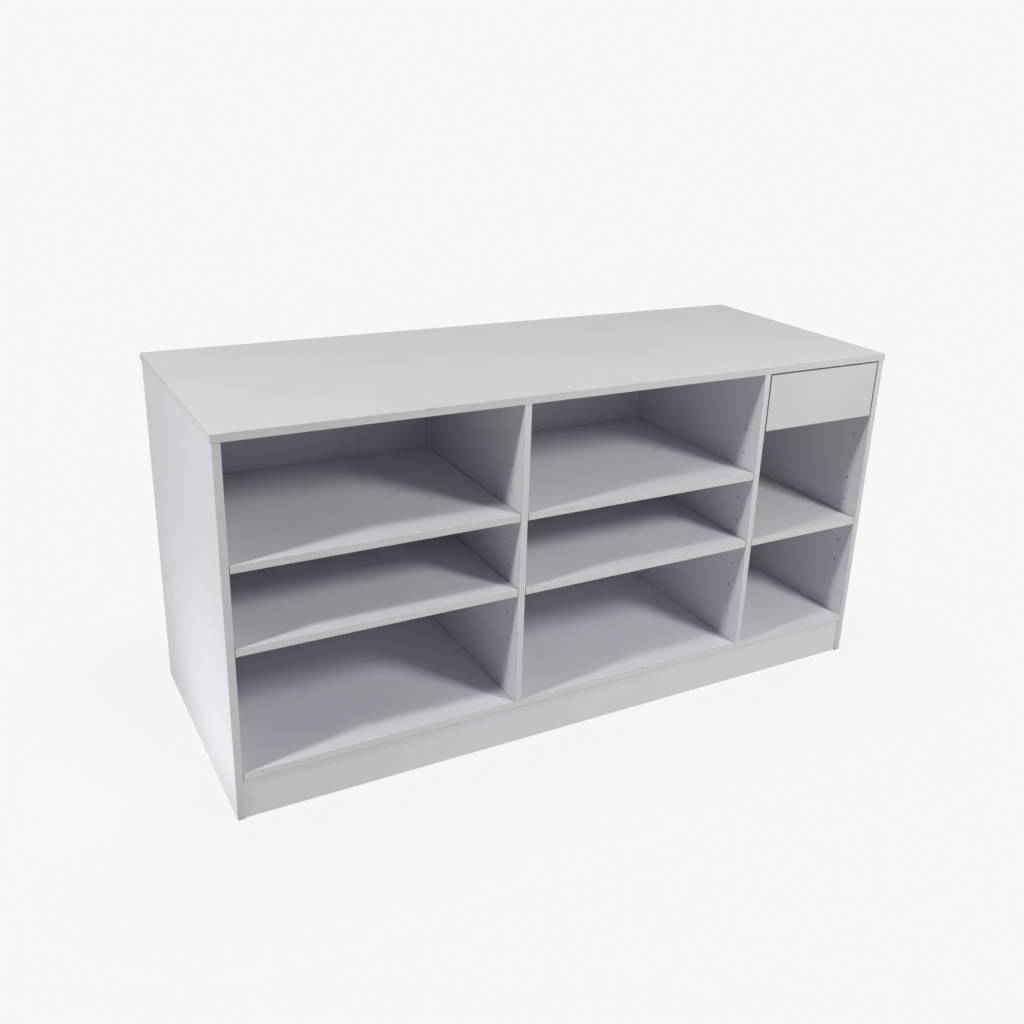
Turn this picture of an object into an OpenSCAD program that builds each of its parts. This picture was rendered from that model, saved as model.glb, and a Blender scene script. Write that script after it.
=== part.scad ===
// Retail counter with an open staff side, five loose shelves and one inset drawer.
// The origin is the middle of the footprint on the floor. +X runs along the counter towards
// the drawer, -Y points to the open staff side, +Y to the customers, +Z up. Millimetres.

/* [Overall] */
// Length of the worktop
counter_l = 1800; // [1500:10:2400]
// Depth of the worktop, staff side to customer side
counter_d = 700; // [600:5:900]
// Height of the worktop's upper face above the floor
counter_h = 900; // [800:5:1100]

/* [Boards] */
// Thickness of the melamine-faced boards of the carcass
board_t = 18; // [16:1:22]
// Thickness of the worktop
worktop_t = 18; // [16:1:38]
// How far the worktop stands past each end panel
end_overhang = 3; // [0:0.5:30]
// How far the worktop stands past the long edges of the end panels
edge_overhang = 1; // [0:0.5:20]
// Thickness of the edging strips
edging_t = 1; // [0.4:0.1:2]
// Rounding along the outer corners of the edging
arris_r = 0.6; // [0.1:0.1:2]

/* [Bays] */
// Clear width of the narrow bay under the drawer
drawer_bay_w = 374; // [330:1:500]
// Height of the kick board, and of the underside of the deck
kick_h = 99; // [60:1:150]
// How far the kick board stands back from the front edges
kick_setback = 4; // [0:1:60]
// How far the customer panel stands in from the rear edges of the end panels
panel_setback = 146; // [20:1:160]

/* [Shelves] */
// Gap between a shelf and each side of its bay
shelf_gap = 1.5; // [0.5:0.1:3]
// Gap between a shelf and the customer panel
shelf_rear_gap = 1; // [0.5:0.1:5]
// Diameter of the holes for the shelf pins
pin_hole_d = 5; // [4:0.5:6]
// Height of the lowest pin holes
pin_first_z = 276; // [180:1:300]
// Height from one pin hole to the next
pin_pitch = 64; // [32:1:80]
// Height left undrilled under the worktop
pin_top_clear = 150; // [120:1:180]
// Distance of the front row of pin holes from the front edges
pin_front_y = 50; // [37:1:80]
// Distance from the front row of pin holes to the rear row
pin_row_gap = 424; // [300:1:430]
// Pin hole that carries the upper shelves, counted from 0 at the lowest
upper_hole = 5; // [4:1:5]
// Pin hole that carries the lower shelves, counted from 0 at the lowest
lower_hole = 2; // [1:1:3]
// Height of a pin's seat above the middle of its hole
pin_seat = 3.5; // [3:0.1:4]
// Length of a pin's shank
pin_shank_l = 7.8; // [6:0.1:7.8]
// Length of a pin's tongue under the shelf
pin_tongue_l = 9; // [6:0.5:14]

/* [Drawer] */
// Height of the drawer front
drawer_front_h = 150; // [130:1:200]
// Gap round the inset drawer front
drawer_gap = 3; // [1.5:0.5:5]
// Height of the drawer box above the lower edge of the drawer front
box_rise = 13; // [5:1:20]
// Height of the drawer front's upper edge above the drawer box
box_drop = 27; // [22:1:40]
// Thickness of the drawer box's sides, front and back
box_board_t = 15; // [12:1:18]
// Thickness of the drawer bottom
bottom_t = 6; // [3:0.5:9]
// Height of the bottom's groove above the lower edge of the box
groove_z = 10; // [8:1:14]
// Depth of the bottom's groove
groove_d = 7; // [4:0.5:8]

/* [Runners] */
// Length of the telescopic drawer runners and of the drawer box
runner_l = 450; // [350:10:480]
// Height of a runner
runner_h = 45; // [40:1:50]
// Thickness of a closed runner, and the gap it fills
runner_t = 12.7; // [12.6:0.1:14]
// Thickness of the runners' steel
runner_sheet = 1.2; // [1:0.1:1.3]
// Diameter of the balls
ball_d = 3.5; // [3.2:0.1:3.6]
// Gap between a ball and its races
ball_clear = 0.05; // [0.03:0.01:0.1]
// Distance between the balls along a retainer
ball_pitch = 18; // [8:1:30]
// Number of balls in a row
ball_count = 11; // [4:1:11]
// Distance from a runner's rear end to its stop tab
stop_inset = 12; // [8:1:20]
// Thickness of rubber in front of the stop tab
bumper_t = 3; // [2:0.5:5]

/* [Fasteners] */
// Diameter of the wooden dowels
dowel_d = 8; // [6:1:10]
// Length of the wooden dowels
dowel_l = 30; // [25:1:40]
// Diameter of the cam discs
cam_d = 15; // [12:1:15]
// How far a cover cap stands past its cam disc all round
cap_rim = 1.5; // [1:0.5:3]
// Distance from a board's end to the middle of its cam
cam_reach = 34; // [24:1:40]
// Length of the legs of the steel fixing angles
angle_leg = 20; // [16:1:24]
// Thickness of the fixing angles
angle_t = 2; // [1:0.5:3]
// Width of the fixing angles
angle_w = 34; // [30:1:50]
// Shank diameter of the pan-head and countersunk screws
screw_d = 3.9; // [3:0.1:4.2]
// Head diameter of the pan-head and countersunk screws
screw_head_d = 7.6; // [6:0.1:8]
// Shank diameter of the screws that join the deck to the dividers
deck_screw_d = 5; // [4:0.5:7]
// Length of the screws that join the deck to the dividers
deck_screw_l = 50; // [40:1:70]

/* [Hidden] */

$fn = 48;

board_color = [0.88, 0.89, 0.91];
inner_color = [0.80, 0.81, 0.85];
edging_color = [0.76, 0.76, 0.75];
steel_color = [0.72, 0.73, 0.75];
wood_color = [0.78, 0.64, 0.45];
rubber_color = [0.12, 0.12, 0.13];

// Allowances shared by everything that is drilled, cut or fitted
fit_gap = 0.05;
cut_over = 1;
hole_relief = 0.5;
blind_skin = 6;
arris = min(arris_r, edging_t);

// Carcass, worked out from the worktop inwards
carcass_l = counter_l - 2 * end_overhang;
carcass_d = counter_d - 2 * edge_overhang;
left_x = -carcass_l / 2;
right_x = carcass_l / 2;
open_y = -carcass_d / 2;
rear_y = carcass_d / 2;
under_top = counter_h - worktop_t;
deck_top = kick_h + board_t;
panel_y = rear_y - panel_setback - board_t;
inner_left = left_x + board_t;
inner_right = right_x - board_t;
right_divider_x = inner_right - drawer_bay_w - board_t;
wide_bay_w = (right_divider_x - inner_left - board_t) / 2;
left_divider_x = inner_left + wide_bay_w;
left_bay = [inner_left, left_divider_x];
middle_bay = [left_divider_x + board_t, right_divider_x];
drawer_bay = [right_divider_x + board_t, inner_right];
inside_d = panel_y - open_y;
kick_y = open_y + kick_setback;
kick_rear = kick_y + board_t;

// Shelves and their pins
pin_count = floor((under_top - pin_top_clear - pin_first_z) / pin_pitch) + 1;
pin_rows = [open_y + pin_front_y, open_y + pin_front_y + pin_row_gap];
pin_d = pin_hole_d - 2 * fit_gap;
pin_head_d = pin_hole_d + 4;
pin_collar_t = 1.5;
pin_tongue_w = 7;
pin_tongue_t = 1.8;
pin_rib_t = 1.6;
pin_hole_depth = board_t - blind_skin;
upper_shelf_z = pin_first_z + upper_hole * pin_pitch + pin_seat;
lower_shelf_z = pin_first_z + lower_hole * pin_pitch + pin_seat;
SHELVES = [
    [left_bay, upper_shelf_z],
    [left_bay, lower_shelf_z],
    [middle_bay, upper_shelf_z],
    [middle_bay, lower_shelf_z],
    [drawer_bay, lower_shelf_z],
];

// Drawer
front_top = under_top - drawer_gap;
front_bottom = front_top - drawer_front_h;
front_left = drawer_bay[0] + drawer_gap;
front_right = drawer_bay[1] - drawer_gap;
front_rear = open_y + board_t;
box_h = drawer_front_h - box_rise - box_drop;
box_z = front_bottom + box_rise;
box_left = drawer_bay[0] + runner_t;
box_right = drawer_bay[1] - runner_t;
box_rear = front_rear + runner_l;
box_middle = (box_left + box_right) / 2;
bottom_z = box_z + groove_z;
groove_gap = 0.3;
groove_in = groove_d - 0.5;
corner_screw_low = 22;
corner_screw_top = 15;
corner_screw_l = 45;
front_screw_x = 100;
front_screw_z = 32;
front_screw_l = box_board_t + board_t - blind_skin;

// Telescopic runners: u is the distance from the cabinet's wall, v the height from the middle
runner_z = box_z + box_h / 2;
runner_y = front_rear + 2;
ball_r = ball_d / 2;
race_r = ball_r + ball_clear;
wrap_r = race_r + runner_sheet;
outer_ball_u = 5.2;
outer_ball_v = runner_h / 2 - wrap_r;
ball_shift = 3.6;
inner_ball_u = outer_ball_u + ball_shift;
inner_ball_v = outer_ball_v - sqrt(pow(race_r + wrap_r, 2) - pow(ball_shift, 2));
sway = atan2(inner_ball_v - outer_ball_v, ball_shift);
sweep_over = 1.5;
cabinet_lip = [14, 166];
middle_cradle_start = 200;
middle_lip_end = 36;
drawer_cradle = [215, 328];
edge_web_u = outer_ball_u - wrap_r;
band_offset = 2.2;
band_u = edge_web_u + band_offset;
band_h = 9.8;
band_slope = 2.2;
web_lap = 0.8;
web_top = outer_ball_v - web_lap;
drawer_web_u = runner_t - runner_sheet;
drawer_web_lap = 0.2;
drawer_web_top = inner_ball_v - drawer_web_lap;
link_h = 1.25;
link_drop = 1.1;
link_top = inner_ball_v - link_drop;
link_u = inner_ball_u + race_r + 0.2;
middle_trim = 4;
cage_t = 0.5;
cage_gap = 0.3;
cage_reach = 2.6;
outer_cage_lip = 2.2;
inner_cage_drop = 0.62;
outer_cage_u = [outer_ball_u - cage_reach, outer_ball_u + outer_cage_lip];
inner_cage_u = [inner_ball_u - cage_reach, drawer_web_u - cage_gap];
outer_cage_v = outer_ball_v - cage_t / 2;
inner_cage_v = inner_ball_v - inner_cage_drop;
cage_l = (ball_count - 1) * ball_pitch + 2 * ball_d;
cage_y = runner_y + (runner_l - cage_l) / 2;
runner_screw_edge = 37;
RUNNER_SCREW_YS = [for (i = [0:2]) runner_y + runner_screw_edge + i * (runner_l / 2 - runner_screw_edge)];
runner_screw_l = runner_sheet + 11;
runner_hole_d = screw_d + 0.6;
slot_l = 6;
slot_from_screw = 18;

// Stops: crimps hold each retainer at the end of its travel, and a tab that is bent up from the
// cabinet member's web and capped with rubber stops the closing middle member
crimp_l = 3;
crimp_inset = 14;
cabinet_crimp_u = edge_web_u + 1;
cabinet_crimp_v = [outer_ball_v - 0.4, outer_ball_v + 0.8];
stop_y = runner_y + runner_l - stop_inset;
stop_tab_h = 11;
stop_tab_u = 7.5;
bumper_wall = 1.2;
bumper_gap = 0.3;
middle_l = stop_y - bumper_t - bumper_gap - runner_y - middle_trim;

// Places of the hidden fasteners
screw_head_h = 1.9;
screw_head_taper = 1.6;
csk_h = 2.4;
dowel_chamfer = 1;
dowel_in_face = board_t - blind_skin;
worktop_dowel_in_face = worktop_t - blind_skin;
deck_mid_z = kick_h + board_t / 2;
panel_mid_y = panel_y + board_t / 2;
left_divider_mid = left_divider_x + board_t / 2;
right_divider_mid = right_divider_x + board_t / 2;
dowel_inset = 130;
PANEL_MIDS = [left_x + board_t / 2, left_divider_mid, right_divider_mid, right_x - board_t / 2];
DIVIDER_MIDS = [left_divider_mid, right_divider_mid];
DECK_YS = [open_y + dowel_inset, panel_y - dowel_inset];
PANEL_ZS = [deck_top + dowel_inset, under_top - dowel_inset];
into_left = [0, -90, 0];
into_right = [0, 90, 0];
into_rear = [-90, 0, 0];
up = [0, 0, 0];
DOWELS = [
    for (y = DECK_YS) [[inner_left, y, deck_mid_z], into_left, dowel_in_face],
    for (y = DECK_YS) [[inner_right, y, deck_mid_z], into_right, dowel_in_face],
    for (z = PANEL_ZS) [[inner_left, panel_mid_y, z], into_left, dowel_in_face],
    for (z = PANEL_ZS) [[inner_right, panel_mid_y, z], into_right, dowel_in_face],
    for (x = DIVIDER_MIDS, z = PANEL_ZS) [[x, panel_y, z], into_rear, dowel_in_face],
    for (x = PANEL_MIDS, y = DECK_YS) [[x, y, under_top], up, worktop_dowel_in_face],
];
cam_inset = 70;
cam_h = board_t * 3 / 4;
cam_bolt_d = 5;
cam_bolt_hole_d = 8;
cam_thread_d = 6;
cam_thread_l = board_t - blind_skin - 1;
cam_head_d = 7;
cam_head_l = 4;
cam_pocket_d = cam_head_d + 0.4;
cam_slot_l = cam_d / 2;
cam_slot_w = 1.5;
cap_t = 1.5;
cap_edge = 0.5;
cap_key_gap = 0.2;
CAMS = [
    for (y = [open_y + cam_inset, panel_y - cam_inset]) [[inner_left, y, deck_mid_z], into_left, -90],
    for (y = [open_y + cam_inset, panel_y - cam_inset]) [[inner_right, y, deck_mid_z], into_right, 90],
    for (z = [deck_top + cam_inset, under_top - cam_inset]) [[inner_left, panel_mid_y, z], into_left, 0],
    for (z = [deck_top + cam_inset, under_top - cam_inset]) [[inner_right, panel_mid_y, z], into_right, 0],
];
deck_screw_head_d = deck_screw_d + 4.5;
deck_screw_head_h = 3.5;
DECK_SCREW_YS = [open_y + cam_inset, open_y + inside_d / 2, panel_y - cam_inset];
angle_inset = 90;
angle_screw_l = angle_t + 12;
angle_screw_out = angle_leg * 0.6;
angle_screw_side = 9;
ANGLE_YS = [open_y + angle_inset, open_y + inside_d / 2, panel_y - angle_inset];
BAY_MIDS = [for (bay = [left_bay, middle_bay, drawer_bay]) (bay[0] + bay[1]) / 2];
PLINTH_YS = [kick_rear + angle_inset, panel_y - angle_inset];
ANGLES = [
    for (x = [inner_left, middle_bay[0], drawer_bay[0]], y = ANGLE_YS) [[x, y, under_top], 0],
    for (y = ANGLE_YS) [[inner_right, y, under_top], 180],
    for (x = BAY_MIDS) [[x, panel_y, under_top], -90],
    for (x = BAY_MIDS) [[x, kick_rear, kick_h], 90],
    for (x = BAY_MIDS) [[x, panel_y, kick_h], -90],
    for (x = [middle_bay[0], drawer_bay[0]], y = PLINTH_YS) [[x, y, kick_h], 0],
];

module board(low, high) {
    translate(low)
        cube(high - low);
}

// An edging strip stands on its end, with its back on the XZ plane and its face towards -Y
module edge_strip(length, width) {
    linear_extrude(length)
        intersection() {
            translate([0, -edging_t])
                square([width, edging_t]);
            union() {
                translate([0, arris - edging_t])
                    square([width, edging_t]);
                translate([arris, -edging_t])
                    square([width - 2 * arris, edging_t]);
                for (x = [arris, width - arris])
                    translate([x, arris - edging_t])
                        circle(arris);
            }
        }
}

// The same strip laid along +X, its width upwards from the given corner
module long_edge_strip(length, width) {
    rotate([0, 90, 0])
        mirror([1, 0, 0])
            edge_strip(length, width);
}

module dowel(in_face) {
    translate([0, 0, in_face - dowel_l]) {
        cylinder(h = dowel_chamfer, d1 = dowel_d - 2 * dowel_chamfer, d2 = dowel_d);
        translate([0, 0, dowel_chamfer])
            cylinder(h = dowel_l - 2 * dowel_chamfer, d = dowel_d);
        translate([0, 0, dowel_l - dowel_chamfer])
            cylinder(h = dowel_chamfer, d1 = dowel_d, d2 = dowel_d - 2 * dowel_chamfer);
    }
}

module dowel_holes() {
    for (place = DOWELS)
        translate(place[0])
            rotate(place[1])
                translate([0, 0, place[2] - dowel_l - hole_relief])
                    cylinder(h = dowel_l + 2 * hole_relief, d = dowel_d + 2 * fit_gap);
}

// A cam fitting joins a board's end at z = 0 to the face beyond it; the disc opens towards -Y
module cam_places() {
    for (place = CAMS)
        translate(place[0])
            rotate(place[1])
                rotate([0, 0, place[2]])
                    children();
}

module cam_disc() {
    translate([0, -board_t / 2, -cam_reach])
        rotate([-90, 0, 0])
            difference() {
                cylinder(h = cam_h, d = cam_d);
                translate([0, cam_head_l / 2 + hole_relief, board_t / 2])
                    rotate([90, 0, 0])
                        cylinder(h = cam_head_l + cam_d, d = cam_pocket_d);
                for (turn = [45, 135])
                    rotate([0, 0, turn])
                        translate([-cam_slot_l / 2, -cam_slot_w / 2, -cut_over])
                            cube([cam_slot_l, cam_slot_w, cam_slot_w + cut_over]);
            }
}

module cam_bolt() {
    translate([0, 0, -cam_reach - cam_head_l / 2])
        cylinder(h = cam_head_l, d = cam_head_d);
    translate([0, 0, -cam_reach])
        cylinder(h = cam_reach, d = cam_bolt_d);
    cylinder(h = cam_thread_l, d = cam_thread_d);
}

// A cap lies on the board over its cam, and its cross-shaped key is pressed into the cam's slot
module cam_cover_cap() {
    cap_r = cam_d / 2 + cap_rim;
    key = [cam_slot_l - 2 * cap_key_gap, cam_slot_w - 2 * cap_key_gap, cam_slot_w - cap_key_gap];
    translate([0, -board_t / 2, -cam_reach])
        rotate([-90, 0, 0]) {
            translate([0, 0, -cap_edge])
                cylinder(h = cap_edge, r = cap_r);
            translate([0, 0, -cap_t])
                cylinder(h = cap_t - cap_edge, r1 = cap_r - cap_t, r2 = cap_r);
            for (turn = [45, 135])
                rotate([0, 0, turn])
                    translate([-key.x / 2, -key.y / 2, -cap_edge])
                        cube([key.x, key.y, key.z + cap_edge]);
        }
}

module cam_holes() {
    cam_places() {
        translate([0, -board_t / 2 - cut_over, -cam_reach])
            rotate([-90, 0, 0])
                cylinder(h = cam_h + hole_relief + cut_over, d = cam_d + 2 * fit_gap);
        translate([0, 0, -cam_reach])
            cylinder(h = cam_reach, d = cam_bolt_hole_d);
        cylinder(h = cam_thread_l + hole_relief, d = cam_thread_d + 2 * fit_gap);
    }
}

// Screws point along +Z: a pan head lies under z = 0, a countersunk head ends at z = 0
module pan_screw(length) {
    translate([0, 0, -screw_head_h])
        cylinder(h = screw_head_h, d1 = screw_head_d - screw_head_taper, d2 = screw_head_d);
    cylinder(h = length, d = screw_d);
}

module pan_hole(length) {
    cylinder(h = length + hole_relief, d = screw_d + 2 * fit_gap);
}

module countersunk(length, shank_d, head_d, head_h, gap) {
    cylinder(h = head_h, d1 = head_d + 2 * gap, d2 = shank_d + 2 * gap);
    cylinder(h = length + (gap > 0 ? hole_relief : 0), d = shank_d + 2 * gap);
}

module deck_screw_places() {
    for (x = DIVIDER_MIDS, y = DECK_SCREW_YS)
        translate([x, y, kick_h])
            children();
}

module deck_screw_shape(gap) {
    countersunk(deck_screw_l, deck_screw_d, deck_screw_head_d, deck_screw_head_h, gap);
}

// A fixing angle hangs under a board at z = 0 and lies against an upright face at x = 0
module angle_places() {
    for (place = ANGLES)
        translate(place[0])
            rotate([0, 0, place[1]])
                children();
}

module angle_screw_places() {
    translate([angle_screw_out, angle_screw_side, -angle_t])
        children();
    translate([angle_t, -angle_screw_side, -angle_screw_out])
        rotate([0, -90, 0])
            children();
}

// A quarter of the plane right of x = 0 and under y = 0, its corner rounded to the given radius
module round_corner(size, radius) {
    translate([0, -size])
        square([size, size - radius]);
    translate([radius, -size])
        square([size - radius, size]);
    translate([radius, -radius])
        circle(radius);
}

module fixing_angle() {
    difference() {
        translate([0, angle_w / 2, 0])
            rotate([90, 0, 0])
                linear_extrude(angle_w)
                    difference() {
                        round_corner(angle_leg, 2 * angle_t);
                        translate([angle_t, -angle_t])
                            round_corner(angle_leg, angle_t);
                    }
        angle_screw_places()
            pan_hole(angle_screw_l);
    }
}

module angle_screw_holes() {
    angle_places()
        angle_screw_places()
            pan_hole(angle_screw_l);
}

module fastener_holes() {
    dowel_holes();
    cam_holes();
    angle_screw_holes();
    deck_screw_places()
        deck_screw_shape(fit_gap);
}

// Two rows of pin holes in an upright face; the holes run along +X from x = 0
module pin_holes(face_x, depth) {
    for (y = pin_rows, k = [0:pin_count - 1])
        translate([face_x, y, pin_first_z + k * pin_pitch])
            rotate([0, 90, 0])
                cylinder(h = depth, d = pin_hole_d);
}

module shelf_pin() {
    rotate([0, -90, 0])
        cylinder(h = pin_shank_l, d = pin_d);
    difference() {
        rotate([0, 90, 0])
            cylinder(h = pin_collar_t, d = pin_head_d);
        translate([-cut_over, -pin_head_d, pin_seat])
            cube([pin_collar_t + 2 * cut_over, 2 * pin_head_d, pin_head_d]);
    }
    translate([0, -pin_tongue_w / 2, pin_seat - pin_tongue_t])
        cube([pin_tongue_l, pin_tongue_w, pin_tongue_t]);
    translate([0, pin_rib_t / 2, 0])
        rotate([90, 0, 0])
            linear_extrude(pin_rib_t)
                polygon([
                    [0, -pin_hole_d / 2],
                    [pin_tongue_l, pin_seat - pin_tongue_t],
                    [pin_tongue_l, pin_seat - pin_tongue_t / 2],
                    [0, pin_seat - pin_tongue_t / 2],
                ]);
}

module worktop() {
    color(board_color)
        difference() {
            board(
                [edging_t - counter_l / 2, edging_t - counter_d / 2, under_top],
                [counter_l / 2 - edging_t, counter_d / 2 - edging_t, counter_h]
            );
            fastener_holes();
        }
}

module worktop_edging() {
    inner_l = counter_l - 2 * edging_t;
    inner_d = counter_d - 2 * edging_t;
    color(edging_color)
        for (turn = [0, 180])
            rotate([0, 0, turn]) {
                translate([-counter_l / 2, -inner_d / 2, under_top])
                    long_edge_strip(counter_l, worktop_t);
                translate([inner_l / 2, -inner_d / 2, under_top])
                    rotate([0, 0, 90])
                        long_edge_strip(inner_d, worktop_t);
            }
}

module end_panel(outer_x) {
    color(board_color)
        difference() {
            board(
                [outer_x, open_y + edging_t, 0],
                [outer_x + board_t, rear_y - edging_t, under_top]
            );
            fastener_holes();
            children();
        }
}

module left_end_panel() {
    end_panel(left_x)
        pin_holes(inner_left - pin_hole_depth, pin_hole_depth + cut_over);
}

module right_end_panel() {
    end_panel(inner_right) {
        pin_holes(inner_right - cut_over, pin_hole_depth + cut_over);
        right_runner()
            cabinet_screw_holes();
    }
}

module end_panel_edgings() {
    color(edging_color)
        for (turn = [0, 180])
            rotate([0, 0, turn])
                for (x = [left_x, inner_right])
                    translate([x, open_y + edging_t, 0])
                        edge_strip(under_top, board_t);
}

module divider(face_x) {
    color(inner_color)
        difference() {
            board(
                [face_x, open_y + edging_t, deck_top],
                [face_x + board_t, panel_y, under_top]
            );
            fastener_holes();
            pin_holes(face_x - cut_over, board_t + 2 * cut_over);
            children();
        }
}

module left_divider() {
    divider(left_divider_x);
}

module right_divider() {
    divider(right_divider_x)
        left_runner()
            cabinet_screw_holes();
}

module divider_edgings() {
    color(edging_color)
        for (x = [left_divider_x, right_divider_x])
            translate([x, open_y + edging_t, deck_top])
                edge_strip(under_top - deck_top, board_t);
}

module deck() {
    color(inner_color)
        difference() {
            board([inner_left, open_y + edging_t, kick_h], [inner_right, panel_y, deck_top]);
            fastener_holes();
        }
}

module deck_edging() {
    color(edging_color)
        translate([inner_left, open_y + edging_t, kick_h])
            long_edge_strip(inner_right - inner_left, board_t);
}

module customer_panel() {
    color(board_color)
        difference() {
            board([inner_left, panel_y, 0], [inner_right, panel_y + board_t, under_top]);
            fastener_holes();
        }
}

module kick_board() {
    color(board_color)
        difference() {
            board([inner_left, kick_y, 0], [inner_right, kick_rear, kick_h]);
            fastener_holes();
        }
}

module plinth_bearers() {
    color(inner_color)
        difference() {
            for (x = [left_divider_x, right_divider_x])
                board([x, kick_rear, 0], [x + board_t, panel_y, kick_h]);
            fastener_holes();
        }
}

module shelf_pins() {
    color(steel_color)
        for (shelf = SHELVES, y = pin_rows) {
            translate([shelf[0][0], y, shelf[1] - pin_seat])
                shelf_pin();
            translate([shelf[0][1], y, shelf[1] - pin_seat])
                rotate([0, 0, 180])
                    shelf_pin();
        }
}

module wooden_dowels() {
    color(wood_color)
        for (place = DOWELS)
            translate(place[0])
                rotate(place[1])
                    dowel(place[2]);
}

module cam_discs() {
    color(steel_color)
        cam_places()
            cam_disc();
}

module cam_bolts() {
    color(steel_color)
        cam_places()
            cam_bolt();
}

// Only the cams in the customer panel show, so only they are capped
module cam_cover_caps() {
    color(board_color)
        for (place = CAMS)
            if (place[2] == 0)
                translate(place[0])
                    rotate(place[1])
                        cam_cover_cap();
}

module deck_screws() {
    color(steel_color)
        deck_screw_places()
            deck_screw_shape(0);
}

module fixing_angles() {
    color(steel_color)
        angle_places()
            fixing_angle();
}

module angle_screws() {
    color(steel_color)
        angle_places()
            angle_screw_places()
                pan_screw(angle_screw_l);
}

module shelf(place) {
    color(inner_color)
        board(
            [place[0][0] + shelf_gap, open_y + edging_t, place[1]],
            [place[0][1] - shelf_gap, panel_y - shelf_rear_gap, place[1] + board_t]
        );
}

module shelf_edging(place) {
    color(edging_color)
        translate([place[0][0] + shelf_gap, open_y + edging_t, place[1]])
            long_edge_strip(place[0][1] - place[0][0] - 2 * shelf_gap, board_t);
}

// A runner is drawn with its back on the wall at x = 0 and its middle at z = 0
module left_runner() {
    translate([drawer_bay[0], 0, runner_z])
        children();
}

module right_runner() {
    translate([drawer_bay[1], 0, runner_z])
        mirror([1, 0, 0])
            children();
}

module runner_profile(y, length) {
    translate([0, y + length, 0])
        rotate([90, 0, 0])
            linear_extrude(length)
                for (flip = [0, 1])
                    mirror([0, flip])
                        children();
}

// A strip of sheet steel bent round a ball, from one angle to another
module race(ball_u, ball_v, from, to) {
    far = 2 * wrap_r;
    steps = 4;
    translate([ball_u, ball_v])
        intersection() {
            difference() {
                circle(wrap_r);
                circle(race_r);
            }
            polygon(concat([[0, 0]], [
                for (i = [0:steps])
                    far * [cos(from + (to - from) * i / steps), sin(from + (to - from) * i / steps)]
            ]));
        }
}

module runner_screw_places() {
    for (y = RUNNER_SCREW_YS)
        translate([0, y, 0])
            children();
}

module cabinet_screw_holes() {
    runner_screw_places()
        translate([runner_sheet, 0, 0])
            rotate([0, -90, 0])
                pan_hole(runner_screw_l);
}

module box_outline(low, high) {
    translate(low)
        square(high - low);
}

// The holes of a member's web: round ones for the screws, and slots on either side of the middle
// one, along the runner or across it, for a member that has to be shifted
module web_holes(web_u, turn) {
    translate([web_u - cut_over, 0, 0])
        rotate([0, 90, 0])
            linear_extrude(runner_sheet + 2 * cut_over) {
                for (y = RUNNER_SCREW_YS)
                    translate([0, y])
                        circle(d = runner_hole_d);
                for (y = [RUNNER_SCREW_YS[0] + slot_from_screw, RUNNER_SCREW_YS[1] - slot_from_screw,
                          RUNNER_SCREW_YS[1] + slot_from_screw, RUNNER_SCREW_YS[2] - slot_from_screw])
                    translate([0, y])
                        rotate(turn) {
                            square([slot_l, runner_hole_d], center = true);
                            for (end = [-1, 1])
                                translate([end * slot_l / 2, 0])
                                    circle(d = runner_hole_d);
                        }
            }
}

module cabinet_member() {
    color(steel_color) {
        difference() {
            union() {
                runner_profile(runner_y, runner_l) {
                    square([runner_sheet, runner_h / 2]);
                    translate([0, runner_h / 2 - runner_sheet])
                        square([outer_ball_u, runner_sheet]);
                    race(outer_ball_u, outer_ball_v, cabinet_lip[0], cabinet_lip[1]);
                }
                runner_profile(runner_y + crimp_inset, crimp_l)
                    box_outline(
                        [runner_sheet / 2, cabinet_crimp_v[0]],
                        [cabinet_crimp_u, cabinet_crimp_v[1]]
                    );
            }
            web_holes(0, 90);
            board(
                [-cut_over, stop_y - stop_tab_u, -stop_tab_h / 2],
                [runner_sheet + cut_over, stop_y, stop_tab_h / 2]
            );
        }
        stop_tab(0);
    }
}

module stop_tab(gap) {
    board(
        [runner_sheet / 2 - gap, stop_y - gap, -stop_tab_h / 2 - gap],
        [stop_tab_u + gap, stop_y + runner_sheet + gap, stop_tab_h / 2 + gap]
    );
}

// A rubber cap pushed over the stop tab, thicker towards the member that it stops
module runner_bumper() {
    color(rubber_color)
        difference() {
            board(
                [runner_sheet + bumper_gap, stop_y - bumper_t, -stop_tab_h / 2 - bumper_wall],
                [
                    stop_tab_u + bumper_wall,
                    stop_y + runner_sheet + bumper_wall,
                    stop_tab_h / 2 + bumper_wall,
                ]
            );
            stop_tab(fit_gap);
        }
}

module middle_member() {
    color(steel_color)
        runner_profile(runner_y + middle_trim, middle_l) {
            race(outer_ball_u, outer_ball_v, middle_cradle_start, 360 + sway + sweep_over);
            race(inner_ball_u, inner_ball_v, middle_lip_end, 180 + sway + sweep_over);
            polygon([
                [edge_web_u, web_top],
                [edge_web_u, band_h + band_slope],
                [band_u, band_h],
                [band_u, 0],
                [band_u + runner_sheet, 0],
                [band_u + runner_sheet, band_h + runner_sheet / 2],
                [edge_web_u + runner_sheet, band_h + band_slope + runner_sheet / 2],
                [edge_web_u + runner_sheet, web_top],
            ]);
        }
}

module drawer_member() {
    color(steel_color)
        difference() {
            union() {
                runner_profile(runner_y, runner_l) {
                    translate([drawer_web_u, 0])
                        square([runner_sheet, drawer_web_top]);
                    race(inner_ball_u, inner_ball_v, drawer_cradle[0], drawer_cradle[1]);
                    box_outline([link_u, link_top - link_h], [drawer_web_u + runner_sheet / 2, link_top]);
                }
                runner_profile(runner_y + runner_l - crimp_inset - crimp_l, crimp_l)
                    box_outline(
                        [link_u, link_top - link_h / 2],
                        [drawer_web_u + runner_sheet / 2, drawer_web_top]
                    );
            }
            web_holes(drawer_web_u, 0);
        }
}

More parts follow.
